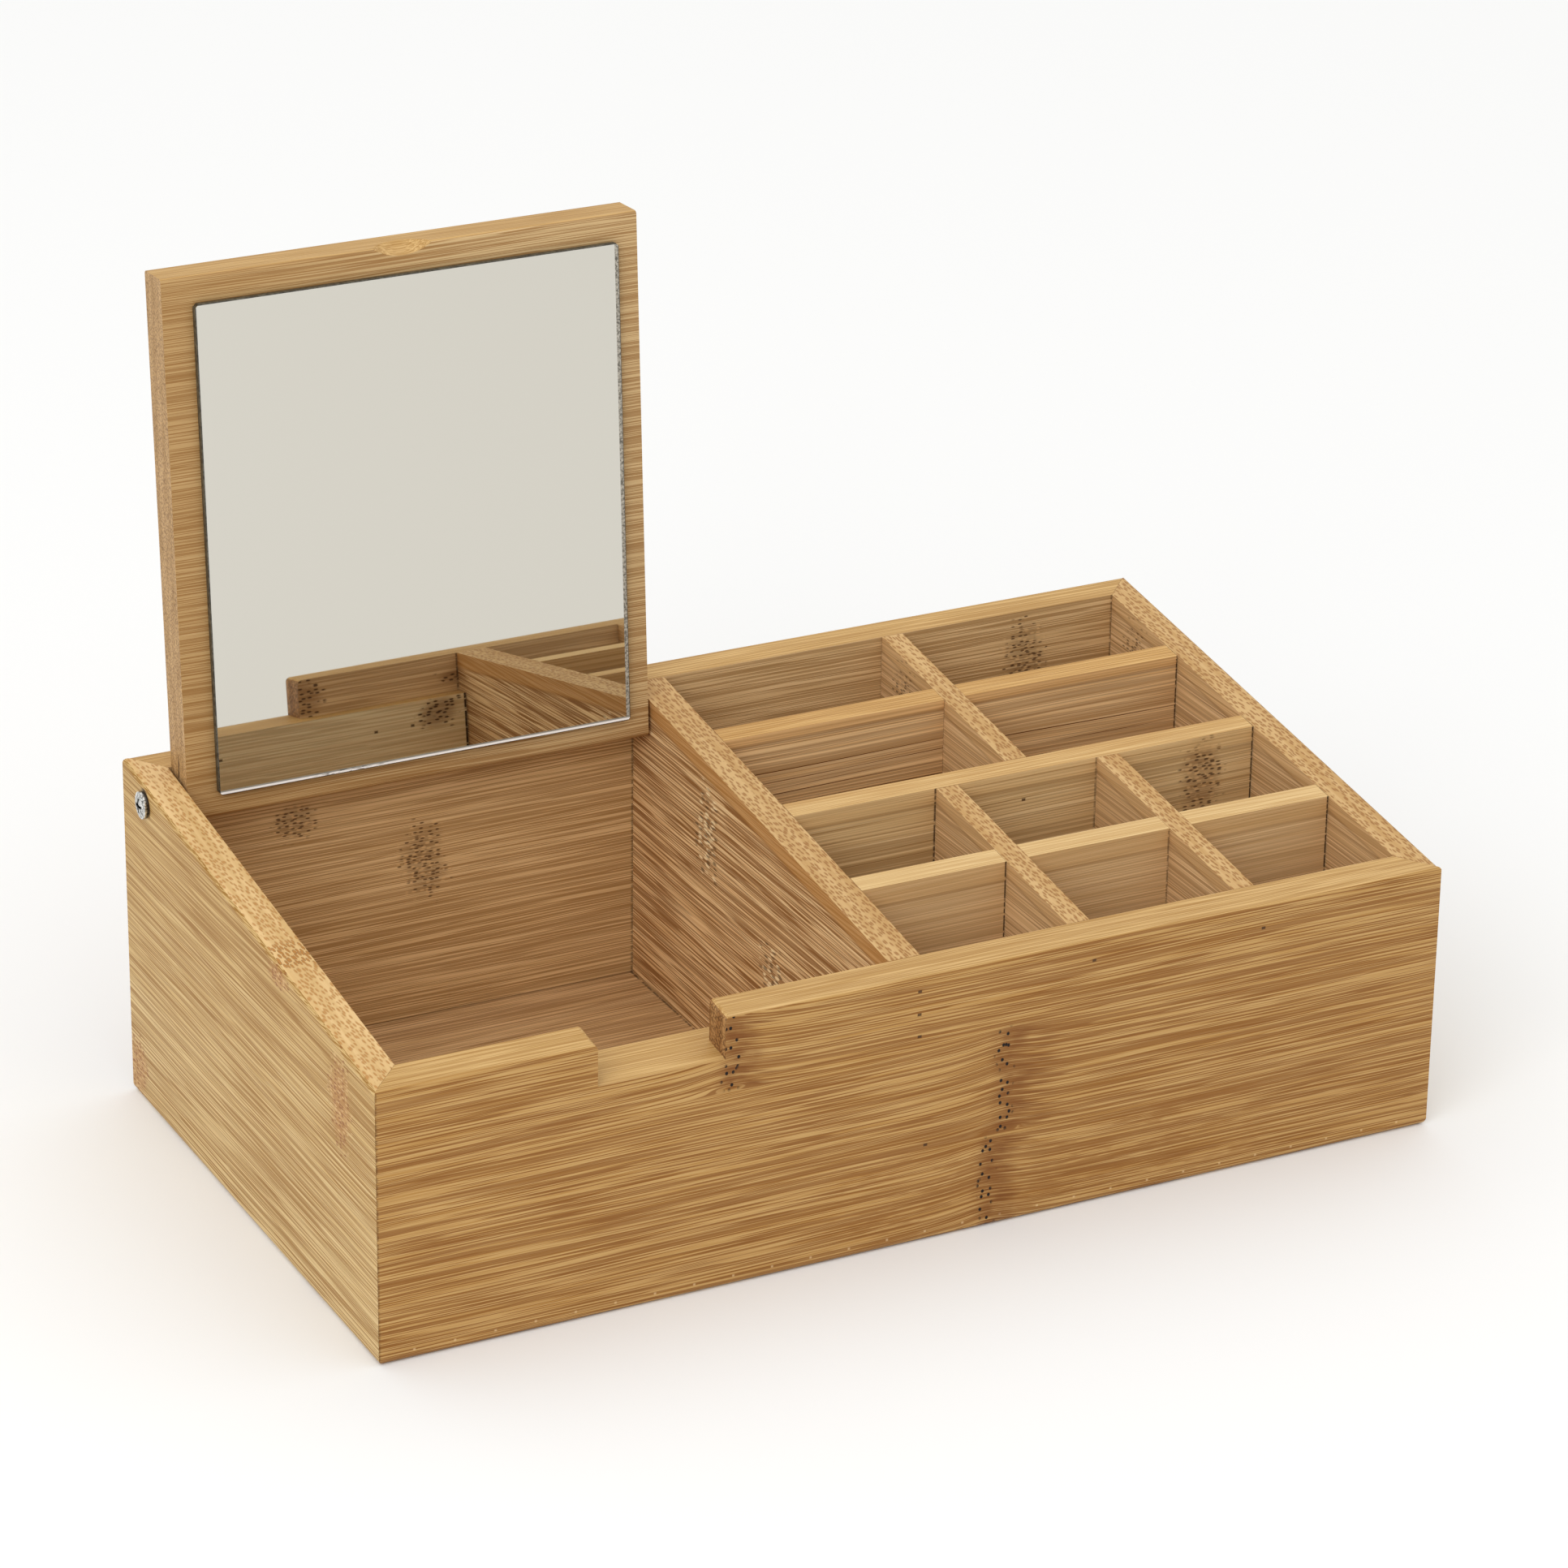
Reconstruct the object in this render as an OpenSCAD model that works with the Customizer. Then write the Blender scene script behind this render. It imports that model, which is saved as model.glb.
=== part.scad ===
/* [Box] */
// Width of the box over its side panels
box_w = 330; // [280:1:400]
// Depth of the box over its front and back panels
box_d = 182; // [150:1:240]
// Height of the back panel at its outer face
back_h = 106; // [95:1:140]
// Height of the front panel at its outer face
front_h = 82; // [60:1:90]
// Thickness of the front, back and side panels
wall_t = 10; // [8:0.5:13]
// Radius of the outer top edges at the back and the sides
top_edge_r = 2; // [0.5:0.1:4]
// Radius of the outer top edge at the front
front_edge_r = 1; // [0.3:0.1:4]
// Radius of the outer bottom edges
foot_edge_r = 2.2; // [0.5:0.1:3.5]

/* [Bottom panel] */
// Thickness of the bottom panel
bottom_t = 6; // [4:0.5:9]
// Height of the bottom panel over the table
bottom_lift = 4; // [3:0.5:8]
// Depth of the groove that holds the bottom panel's edges
groove_d = 4; // [2:0.5:6]

/* [Mirror compartment] */
// Width of the compartment between the left side and the partition
bay_w = 147; // [110:1:190]
// Thickness of the partition
partition_t = 10; // [7:0.5:13]
// Thickness of the strip that the closed lid rests on
strip_t = 6; // [4:0.5:10]
// Width of the finger notch in the front panel
notch_w = 38; // [25:1:60]
// Radius of the notch's two upper corners
notch_edge_r = 1.5; // [0.3:0.1:3]

/* [Dividers] */
// Thickness of the mid rail and of the cross dividers
cross_t = 7; // [5:0.5:10]
// Thickness of the dividers that run from front to back
divider_t = 7; // [5:0.5:10]
// Distance of the mid rail behind the middle of the box
rail_back = 0; // [-15:0.5:15]
// Depth of the rearmost row of cells
rear_row_d = 33; // [20:0.5:45]
// Depth of the frontmost row of cells
front_row_d = 35.2; // [20:0.1:45]
// Height share of a divider at which its cross-lap slot ends
lap_share = 0.5; // [0.3:0.05:0.7]

/* [Lid] */
// Thickness of the lid panel
lid_t = 12; // [10:0.5:14]
// Gap at each end of the lid
lid_end_gap = 1; // [0.5:0.1:3]
// Gap between the closed lid's upper edge and the front panel
lid_front_gap = 1.7; // [0.5:0.1:3]
// Air between the lid's heel and the back panel where the swing comes nearest
lid_back_gap = 0.5; // [0.2:0.1:1.5]
// Length of the lid below its pivot axis
lid_heel = 5.6; // [4.5:0.1:6]
// Radius of the heel's edge on the mirror's side
heel_edge_r = 2; // [2:0.1:4]
// How far the closed lid lies below the rims
lid_sink = 0.2; // [0:0.1:1]
// Radius of the lid's free edges
lid_edge_r = 1; // [0.3:0.1:2]
// Width of the thumb scoop in the free edge
scoop_w = 18.5; // [14:0.5:30]
// How far the scoop cuts into the lid's thickness
scoop_in = 5.5; // [3:0.5:7]
// How far the scoop cuts down the mirror's side of the lid
scoop_down = 3; // [2:0.5:4]

/* [Mirror] */
// Wood beside the mirror at the lid's left end
mirror_left_margin = 8.9; // [4:0.1:20]
// Wood beside the mirror at the lid's right end
mirror_right_margin = 6.8; // [4:0.1:20]
// Wood between the mirror and the lid's free edge
mirror_top_margin = 7.9; // [6.5:0.1:20]
// Distance from the pivot axis to the mirror's lower edge
mirror_foot_margin = 1.7; // [0:0.1:15]
// Thickness of the glass
glass_t = 2; // [1.5:0.1:3]
// Width of the ground arris along the front edges of the glass
arris_w = 0.3; // [0.1:0.1:1]
// Length that is ground off each corner of the glass
corner_clip = 1; // [0.5:0.1:4]
// Thickness of the adhesive film behind the glass
adhesive_t = 0.3; // [0.1:0.1:0.8]
// Strip along the edge of the glass that the adhesive leaves bare
adhesive_margin = 3; // [1:0.5:15]

/* [Pivot screws] */
// Diameter of the plain shank
screw_d = 4; // [3:0.5:5]
// Length of the screw inside the lid
screw_bite = 18; // [10:1:30]
// Length of the tapered tip
screw_tip = 4; // [2:0.5:6]
// Diameter of the tip's blunt end
tip_d = 1; // [0.5:0.1:2]
// Diameter of the head
head_d = 8; // [6.5:0.1:10]
// Height of the head at its middle
head_h = 1.8; // [1.4:0.1:3]
// Height of the head at its rim
head_rim_h = 1.1; // [0.6:0.1:1.3]
// Length of each arm pair of the cross recess
cross_w = 4.4; // [3:0.1:5]
// Width of an arm of the cross recess
cross_arm = 0.9; // [0.6:0.1:1.2]
// Depth of the cross recess
cross_deep = 1.2; // [0.8:0.1:1.3]

/* [Fits] */
// Radial play of a screw in the bore that it turns in
turn_play = 0.05; // [0.02:0.01:0.1]
// Radial play of a screw in the lid's end grain
bite_play = 0.02; // [0.01:0.01:0.05]
// Air between a screw head and the wall it turns against
head_play = 0.1; // [0.05:0.05:0.3]
// Glue line at the end of a partition, rail or divider
glue_gap = 0.2; // [0.05:0.05:0.5]
// Setback of each board end at a mitred corner
mitre_gap = 0.05; // [0.02:0.01:0.2]
// Air on each side of a cross-lap slot
slot_gap = 0.1; // [0.05:0.05:0.4]
// Air around the bottom panel in its grooves
groove_gap = 0.2; // [0.1:0.1:0.6]
// Air between the open lid and the edge that it leans on
stop_gap = 0.15; // [0.05:0.05:0.5]
// Air between the closed lid and the strip that it rests on
rest_gap = 0.1; // [0.05:0.05:0.5]

/* [Hidden] */
$fn = 64;

// Overrun of every cut past the face that it opens
over = 1;
// Blank height of a board before its top is cut to the slope
tall = 2 * back_h;

// Slope of the top, down from the back to the front
slope_a = atan((back_h - front_h) / box_d);

// Inner faces of the box
in_x = box_w / 2 - wall_t;
in_y = box_d / 2 - wall_t;
floor_z = bottom_lift + bottom_t;

// Partition's faces, and the middle of the mirror compartment
part_x0 = bay_w - in_x;
part_x1 = part_x0 + partition_t;
bay_x = part_x0 - bay_w / 2;

// Middle lines of the rail and of the cross dividers
rail_y = rail_back;
rear_cross_y = in_y - rear_row_d - cross_t / 2;
front_cross_y = front_row_d + cross_t / 2 - in_y;

// Middle lines of the front-to-back dividers, which leave equal cells
grid_w = in_x - part_x1;
rear_div_x = part_x1 + grid_w / 2;
front_cell_w = (grid_w - 2 * divider_t) / 3;
front_left_x = part_x1 + front_cell_w + divider_t / 2;
front_right_x = in_x - front_cell_w - divider_t / 2;

// Pivot axis of the lid, at half its thickness, for a lid that closes flush
lid_r = lid_t / 2;
heel_flat = lid_heel - heel_edge_r;
heel_reach = heel_flat * cos(slope_a) + (lid_r - heel_edge_r) * sin(slope_a) + heel_edge_r;
hinge_gap = max(lid_r, heel_reach) + lid_back_gap;
pivot_y = in_y - hinge_gap;
pivot_z = top_z(pivot_y) - (lid_r + lid_sink) / cos(slope_a);
lid_x0 = lid_end_gap - in_x;
lid_x1 = part_x0 - lid_end_gap;
lid_reach = (2 * in_y - hinge_gap - lid_front_gap - lid_r * sin(slope_a)) / cos(slope_a);
ledge_drop = lid_t + lid_sink + rest_gap;

// Lean of the open lid, which rests on the back panel's inner top edge
edge_z = top_z(in_y) - pivot_z;
lid_lean = acos((lid_r + stop_gap) / norm([hinge_gap, edge_z])) - atan(edge_z / hinge_gap);

// Mirror plate, in the lid's own frame
glass_x = lid_x0 + mirror_left_margin;
glass_w = lid_x1 - mirror_right_margin - glass_x;
glass_l = lid_reach - mirror_top_margin - mirror_foot_margin;

// Sphere that cuts a scoop of the stated width and reach
scoop_half = scoop_w / 2;
scoop_up = (pow(scoop_half, 2) - pow(scoop_down, 2)) / (2 * scoop_down);
scoop_out = (pow(scoop_half, 2) - pow(scoop_in, 2)) / (2 * scoop_in);
scoop_r = norm([scoop_half, scoop_up, scoop_out]);

// Dome of the screw heads
dome_rise = head_h - head_rim_h;
dome_r = (pow(head_d / 2, 2) + pow(dome_rise, 2)) / (2 * dome_rise);

// Colours of the pieces
bamboo_front = [0.72, 0.56, 0.35];
bamboo_side = [0.79, 0.66, 0.46];
bamboo_inner = [0.66, 0.50, 0.33];
bamboo_divider = [0.75, 0.59, 0.39];
bamboo_lid = [0.76, 0.60, 0.38];
mirror_grey = [0.84, 0.83, 0.78];
tape_white = [0.90, 0.90, 0.88];
zinc = [0.76, 0.76, 0.74];

// Height of the sloped top at a distance y from the middle
function top_z(y) = front_h + (y + box_d / 2) * tan(slope_a);

// Unit vector at an angle in a drawing plane
function dir(a) = [cos(a), sin(a)];

// Draws in the plane across X and extrudes to the right
module along_x(len) {
    rotate([90, 0, 90]) linear_extrude(height = len) children();
}

// Draws in the plane across Y and extrudes to the back
module along_y(len) {
    translate([0, len, 0]) rotate([90, 0, 0]) linear_extrude(height = len) children();
}

// Frame on the sloped top, with its origin on the front top edge
module slope_frame() {
    translate([0, -box_d / 2, front_h]) rotate([slope_a, 0, 0]) children();
}

// Frame of the lid: origin on the pivot axis, Y to the free edge, Z to the mirror
module lid_frame() {
    translate([0, pivot_y, pivot_z]) rotate([90 - lid_lean, 0, 0]) children();
}

// What rounds a corner at p between edges that leave it at angles a1 and a2
module corner_cut(p, a1, a2, r) {
    half = (a2 - a1) / 2;
    mid = a1 + half;
    c = p + r / sin(half) * dir(mid);
    t1 = p + r / tan(half) * dir(a1);
    t2 = p + r / tan(half) * dir(a2);
    outer = p - over / sin(half) * dir(mid);
    difference() {
        polygon([c, t1, t1 + over * dir(a1 - 90), outer, t2 + over * dir(a2 + 90), t2]);
        translate(c) circle(r);
    }
}

// Everything above the sloped top, or above a plane that lies drop below it
module above_slope(drop = 0) {
    slope_frame() translate([-box_w, -box_d, -drop]) cube([2 * box_w, 3 * box_d, tall]);
}

// Straight bore or shaft on the pivot axis
module pivot_shaft(x0, x1, r) {
    translate([x0, pivot_y, pivot_z]) rotate([0, 90, 0]) cylinder(h = x1 - x0, r = r);
}

// Groove around the bottom panel
module floor_groove() {
    reach = groove_d - wall_t;
    size = [box_w + 2 * reach, box_d + 2 * reach, bottom_t + groove_gap];
    translate([-size.x / 2, -size.y / 2, bottom_lift]) cube(size);
}

// Mitred board along X with its outer face at Y zero and a rounded foot
module board(len) {
    end = len / 2 - mitre_gap;
    difference() {
        linear_extrude(height = tall)
            polygon([[-end, 0], [end, 0], [end - wall_t, wall_t], [wall_t - end, wall_t]]);
        translate([-len / 2, 0, 0]) along_x(len) corner_cut([0, 0], 0, 90, foot_edge_r);
    }
}

// Section of the finger notch, from the ledge up, with its upper corners rounded
module notch_section() {
    half = notch_w / 2;
    translate([-half, -ledge_drop]) square([notch_w, tall]);
    corner_cut([-half, 0], 180, 270, notch_edge_r);
    corner_cut([half, 0], -90, 0, notch_edge_r);
}

// Front board with its finger notch
module front_panel() {
    color(bamboo_front) difference() {
        translate([0, -box_d / 2, 0]) board(box_w);
        above_slope();
        translate([-box_w / 2, 0, 0]) along_x(box_w)
            corner_cut([-box_d / 2, front_h], -90, slope_a, front_edge_r);
        slope_frame() translate([bay_x, -wall_t, 0]) along_y(3 * wall_t) notch_section();
        floor_groove();
    }
}

module back_panel() {
    color(bamboo_front) difference() {
        translate([0, box_d / 2, 0]) rotate([0, 0, 180]) board(box_w);
        above_slope();
        translate([-box_w / 2, 0, 0]) along_x(box_w)
            corner_cut([box_d / 2, back_h], 180 + slope_a, 270, top_edge_r);
        floor_groove();
    }
}

// Side board whose rounded top edge runs down the slope, for the side at sign
module side_board(sign) {
    a1 = sign < 0 ? -90 : 180;
    difference() {
        translate([sign * box_w / 2, 0, 0]) rotate([0, 0, sign * 90]) board(box_d);
        above_slope();
        slope_frame() translate([0, -box_d, 0]) along_y(3 * box_d)
            corner_cut([sign * box_w / 2, 0], a1, a1 + 90, top_edge_r);
        floor_groove();
    }
}

// Left side with the bore that its pivot screw turns in
module left_side() {
    color(bamboo_side) difference() {
        side_board(-1);
        pivot_shaft(-box_w / 2 - over, over - in_x, screw_d / 2 + turn_play);
    }
}

module right_side() {
    color(bamboo_side) side_board(1);
}

module bottom_panel() {
    reach = groove_d - groove_gap - wall_t;
    size = [box_w + 2 * reach, box_d + 2 * reach, bottom_t];
    color(bamboo_inner) translate([-size.x / 2, -size.y / 2, bottom_lift]) cube(size);
}

// Upright board on the bottom panel, cut to the sloped top or a drop below it
module upright(x0, x1, y0, y1, drop = 0) {
    difference() {
        translate([x0, y0, floor_z]) cube([x1 - x0, y1 - y0, tall]);
        above_slope(drop);
    }
}

// Partition with the bore that its pivot screw turns in
module partition() {
    color(bamboo_divider) difference() {
        upright(part_x0, part_x1, glue_gap - in_y, in_y - glue_gap);
        pivot_shaft(part_x0 - over, part_x1 + over, screw_d / 2 + turn_play);
    }
}

module lid_rest_strip() {
    color(bamboo_divider)
        upright(glue_gap - in_x, part_x0 - glue_gap, -in_y, strip_t - in_y, ledge_drop);
}

// Board across the grid at y, with slots from above for the dividers at xs
module cross_board(y, xs) {
    lap_z = floor_z + lap_share * (top_z(y) - floor_z);
    slot_w = divider_t + 2 * slot_gap;
    difference() {
        upright(part_x1 + glue_gap, in_x - glue_gap, y - cross_t / 2, y + cross_t / 2);
        for (x = xs) {
            translate([x - slot_w / 2, y - cross_t, lap_z]) cube([slot_w, 2 * cross_t, tall]);
        }
    }
}

// Board from y0 to y1 at x, with a slot from below for the cross divider at y
module divider_board(x, y0, y1, y) {
    lap_z = floor_z + lap_share * (top_z(y) - floor_z);
    slot_w = cross_t + 2 * slot_gap;
    difference() {
        upright(x - divider_t / 2, x + divider_t / 2, y0 + glue_gap, y1 - glue_gap);
        translate([x - divider_t, y - slot_w / 2, lap_z + slot_gap - tall])
            cube([2 * divider_t, slot_w, tall]);
    }
}

module mid_rail() {
    color(bamboo_divider) cross_board(rail_y, []);
}

module rear_cross_divider() {
    color(bamboo_divider) cross_board(rear_cross_y, [rear_div_x]);
}

module front_cross_divider() {
    color(bamboo_divider) cross_board(front_cross_y, [front_left_x, front_right_x]);
}

module rear_divider() {
    color(bamboo_divider) divider_board(rear_div_x, rail_y + cross_t / 2, in_y, rear_cross_y);
}

// One of the two dividers in front of the rail
module front_divider(x) {
    color(bamboo_divider) divider_board(x, -in_y, rail_y - cross_t / 2, front_cross_y);
}

module front_left_divider() {
    front_divider(front_left_x);
}

module front_right_divider() {
    front_divider(front_right_x);
}

// Section of the lid, whose heel is round about the pivot axis on the back panel's side
module lid_section() {
    difference() {
        translate([-lid_heel, -lid_r]) square([lid_heel + lid_reach, lid_t]);
        difference() {
            translate([-lid_t, -lid_t]) square(lid_t);
            circle(lid_r);
        }
        corner_cut([-lid_heel, lid_r], -90, 0, heel_edge_r);
        corner_cut([lid_reach, lid_r], 180, 270, lid_edge_r);
        corner_cut([lid_reach, -lid_r], 90, 180, lid_edge_r);
    }
}

// Lid board with its thumb scoop and pilot holes
module lid_panel() {
    hole_r = screw_d / 2 + bite_play;
    color(bamboo_lid) difference() {
        lid_frame() difference() {
            translate([lid_x0, 0, 0]) along_x(lid_x1 - lid_x0) lid_section();
            translate([bay_x, lid_reach + scoop_up, lid_r + scoop_out]) sphere(scoop_r);
        }
        pivot_shaft(lid_x0 - over, lid_x0 + screw_bite + over, hole_r);
        pivot_shaft(lid_x1 - screw_bite - over, lid_x1 + over, hole_r);
    }
}

// Frame of the mirror: origin at its lower left corner on the lid's face
module mirror_frame() {
    lid_frame() translate([glass_x, mirror_foot_margin, lid_r]) children();
}

module mirror_adhesive() {
    size = [glass_w - 2 * adhesive_margin, glass_l - 2 * adhesive_margin, adhesive_t];
    color(tape_white) mirror_frame()
        translate([adhesive_margin, adhesive_margin, 0]) cube(size);
}

// Outline of a plate of size w by h with foot cut off its lower and head off its upper corners
module clipped(w, h, foot, head) {
    polygon([
        [foot, 0], [w - foot, 0], [w, foot], [w, h - head],
        [w - head, h], [head, h], [0, h - head], [0, foot]
    ]);
}

// Mirror plate with ground arrises in front and clipped corners
module mirror_glass() {
    color(mirror_grey) mirror_frame() translate([0, 0, adhesive_t]) intersection() {
        linear_extrude(height = glass_t) clipped(glass_w, glass_l, corner_clip, corner_clip);
        along_y(glass_l) clipped(glass_w, glass_t, 0, arris_w);
        along_x(glass_w) clipped(glass_l, glass_t, 0, arris_w);
    }
}

// Screw that stands on its head's seat and points down to its tip
module screw(shank) {
    rod = shank - screw_tip;
    difference() {
        union() {
            intersection() {
                cylinder(h = head_h, r = head_d / 2);
                translate([0, 0, head_h - dome_r]) sphere(dome_r);
            }
            translate([0, 0, -rod]) cylinder(h = rod, r = screw_d / 2);
            translate([0, 0, -shank]) cylinder(h = screw_tip, r1 = tip_d / 2, r2 = screw_d / 2);
        }
        for (turn = [0, 90]) {
            rotate([0, 0, turn]) translate([-cross_w / 2, -cross_arm / 2, head_h - cross_deep])
                cube([cross_w, cross_arm, head_h]);
        }
    }
}

// The screws through the left side and the partition into the lid's ends
module pivot_screws() {
    left_seat = -box_w / 2 - head_play;
    right_seat = part_x1 + head_play;
    color(zinc) {
        translate([left_seat, pivot_y, pivot_z]) rotate([0, -90, 0])
            screw(lid_x0 + screw_bite - left_seat);
        translate([right_seat, pivot_y, pivot_z]) rotate([0, 90, 0])
            screw(right_seat - lid_x1 + screw_bite);
    }
}

front_panel();
back_panel();
left_side();
right_side();
bottom_panel();
partition();
lid_rest_strip();
mid_rail();
rear_cross_divider();
front_cross_divider();
rear_divider();
front_left_divider();
front_right_divider();
lid_panel();
mirror_adhesive();
mirror_glass();
pivot_screws();
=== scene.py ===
"""Looks of a bamboo vanity organizer with a hinged mirror lid.

Every visible surface gets a procedural bamboo, glass or metal material, worked out in
millimetres of the model's own frame: X to the right, Y to the back, Z up.
"""

import math

import bpy
from mathutils import Matrix, Vector

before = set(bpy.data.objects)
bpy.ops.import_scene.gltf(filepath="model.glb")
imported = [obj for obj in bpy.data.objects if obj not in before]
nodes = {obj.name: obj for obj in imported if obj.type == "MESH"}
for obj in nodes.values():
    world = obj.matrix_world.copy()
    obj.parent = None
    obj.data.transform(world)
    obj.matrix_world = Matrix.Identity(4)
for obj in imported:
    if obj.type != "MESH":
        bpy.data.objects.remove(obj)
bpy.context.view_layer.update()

MM = 0.001

# The photograph's frame, and the camera that was fitted to the object's corners in it. Its
# uprights were partly straightened, which a small lens shift follows
PHOTO_WIDTH = 1932
FOCAL_PX = 7105.3
CAMERA_MM = Vector((-686.97, -1335.74, 764.67))
CAMERA_AZIMUTH = math.radians(26.425)
CAMERA_DOWN = math.radians(22.782)
CAMERA_ROLL = math.radians(0.479)
LENS_SHIFT = (0.04772, -0.06491)

# Sizes of the part that the materials follow, in millimetres
HALF_DEPTH = 91.0
FRONT_HEIGHT = 82.0
SLOPE = math.radians(7.512)
LEAN = math.radians(3.461)
PIVOT = Vector((0.0, 74.408, 97.558))
SCREW_HEADS_X = (-166.9, 3.9)
SCREW_RECESS_R = 2.35
MIRROR_RIGHT = -15.8
MIRROR_FOOT = 1.7  # over the pivot, along the lid
MIRROR_BAND = 1.4  # width of the ground edge that shows through the glass

# Which axes run along the fibres, across them on the board's face, and through the board
X_FACE, Y_FACE = "xzy", "yzx"
X_FLAT, Y_FLAT = "xyz", "yxz"

# Directions that the faces of a piece look in
UP = (0.0, -math.sin(SLOPE), math.cos(SLOPE))
LEFT, RIGHT = (-1, 0, 0), (1, 0, 0)
BACK = (0, 1, 0)
LID_TIP = (0, 0, 1)
MIRROR_OUT = (0, -math.cos(LEAN), math.sin(LEAN))

# Display colours that several boards share
KNOT_BROWN = (122, 72, 26)
FLECK_PALE = (226, 184, 128)
DASH_DARK = (58, 34, 18)
BLOTCH_BROWN = (146, 96, 42)
FOOT_MARK = (232, 200, 150)
VESSEL_BLACK = (22, 12, 6)
SPECK_DARK = (64, 38, 18)
HOLE_SHADE = (58, 40, 24)
JOINT_DARK = (52, 34, 18)
CRACK_DARK = (60, 38, 22)
DASH_RIM = (132, 88, 42)


def srgb(red, green, blue):
    """A colour given as 0-255 display values, as linear values."""

    def linear(value):
        v = value / 255
        return v / 12.92 if v <= 0.04045 else ((v + 0.055) / 1.055) ** 2.4

    return (linear(red), linear(green), linear(blue), 1.0)


class Shader:
    """A node material that is built with one short call per node."""

    def __init__(self, name):
        self.material = bpy.data.materials.new(name)
        self.material.use_nodes = True
        self.tree = self.material.node_tree
        self.tree.nodes.clear()
        self.output = self.tree.nodes.new("ShaderNodeOutputMaterial")

    def put(self, socket, value):
        """Links a socket to another one, or sets its value."""
        if isinstance(value, bpy.types.NodeSocket):
            self.tree.links.new(value, socket)
        elif value is not None:
            socket.default_value = value

    def node(self, kind, *inputs, **settings):
        made = self.tree.nodes.new(kind)
        for key, value in settings.items():
            setattr(made, key, value)
        for socket, value in zip(made.inputs, inputs):
            self.put(socket, value)
        return made

    def math(self, operation, a, b=None):
        return self.node("ShaderNodeMath", a, b, operation=operation).outputs[0]

    def add(self, a, b):
        return self.math("ADD", a, b)

    def sub(self, a, b):
        return self.math("SUBTRACT", a, b)

    def mul(self, a, b):
        return self.math("MULTIPLY", a, b)

    def most(self, a, b):
        return self.math("MAXIMUM", a, b)

    def apart(self, a, b):
        """The difference between two values, without its sign."""
        return self.math("ABSOLUTE", self.sub(a, b))

    def length(self, a, b):
        """The length of a plane vector."""
        return self.math("SQRT", self.add(self.math("POWER", a, 2.0), self.math("POWER", b, 2.0)))

    def step(self, value, low, high):
        """A smooth step: 0 where value is low, 1 where it is high. low may be the larger."""
        made = self.node("ShaderNodeMapRange", value, low, high, 0.0, 1.0, interpolation_type="SMOOTHSTEP")
        return made.outputs[0]

    def near(self, value, target, far, close):
        """1 where a value is close to its target, 0 where it is far from it."""
        return self.step(self.apart(value, target), far, close)

    def band(self, value, low, full_low, full_high, high):
        """1 between the two full values, which fades to 0 at low and high."""
        return self.mul(self.step(value, low, full_low), self.step(value, high, full_high))

    def mix(self, share, a, b):
        made = self.node("ShaderNodeMix", data_type="RGBA")
        self.put(made.inputs["Factor"], share)
        self.put(made.inputs[6], a)
        self.put(made.inputs[7], b)
        return made.outputs[2]

    def vector(self, x, y, z):
        return self.node("ShaderNodeCombineXYZ", x, y, z).outputs[0]

    def noise(self, vector, detail=2.0, roughness=0.5):
        made = self.node("ShaderNodeTexNoise")
        self.put(made.inputs["Vector"], vector)
        self.put(made.inputs["Scale"], 1.0)
        self.put(made.inputs["Detail"], detail)
        self.put(made.inputs["Roughness"], roughness)
        return made.outputs["Fac"]

    def cells(self, vector, randomness=1.0):
        """Distance to the nearest cell centre, and a random value for that cell."""
        made = self.node("ShaderNodeTexVoronoi", voronoi_dimensions="2D")
        self.put(made.inputs["Vector"], vector)
        self.put(made.inputs["Scale"], 1.0)
        self.put(made.inputs["Randomness"], randomness)
        random = self.node("ShaderNodeSeparateColor", made.outputs["Color"]).outputs[0]
        return made.outputs["Distance"], random

    def random(self, value):
        """A value between 0 and 1 that stays the same for the same input."""
        made = self.node("ShaderNodeTexWhiteNoise", noise_dimensions="1D")
        self.put(made.inputs["W"], value)
        return made.outputs["Value"]

    def place(self):
        """X, Y and Z of the surface point in the model's frame, in millimetres."""
        source = self.node("ShaderNodeTexCoord").outputs["Object"]
        scaled = self.node("ShaderNodeVectorMath", operation="SCALE")
        self.put(scaled.inputs[0], source)
        self.put(scaled.inputs["Scale"], 1 / MM)
        split = self.node("ShaderNodeSeparateXYZ", scaled.outputs[0])
        return split.outputs[0], split.outputs[1], split.outputs[2]

    def axes(self, order):
        """The three places in another order, such as "yzx"."""
        spot = dict(zip("xyz", self.place()))
        return [spot[axis] for axis in order]

    def grit(self, scale, detail=3.0, roughness=0.7):
        """Noise that is alike in all directions."""
        x, y, z = self.place()
        return self.noise(self.vector(self.mul(x, scale), self.mul(y, scale), self.mul(z, scale)), detail, roughness)

    def from_axis(self, y, z):
        """Distance of a surface point from the axis that the lid turns about."""
        return self.length(self.sub(y, PIVOT.y), self.sub(z, PIVOT.z))

    def bump(self, height, distance):
        made = self.node("ShaderNodeBump")
        self.put(made.inputs["Strength"], 1.0)
        self.put(made.inputs["Distance"], distance * MM)
        self.put(made.inputs["Height"], height)
        return made.outputs["Normal"]

    def surface(self, color, roughness, normal=None, metallic=0.0, specular=0.5):
        made = self.node("ShaderNodeBsdfPrincipled")
        self.put(made.inputs["Base Color"], color)
        self.put(made.inputs["Roughness"], roughness)
        self.put(made.inputs["Metallic"], metallic)
        self.put(made.inputs["Specular IOR Level"], specular)
        if normal is not None:
            self.put(made.inputs["Normal"], normal)
        self.put(self.output.inputs["Surface"], made.outputs[0])
        return self.material


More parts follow.
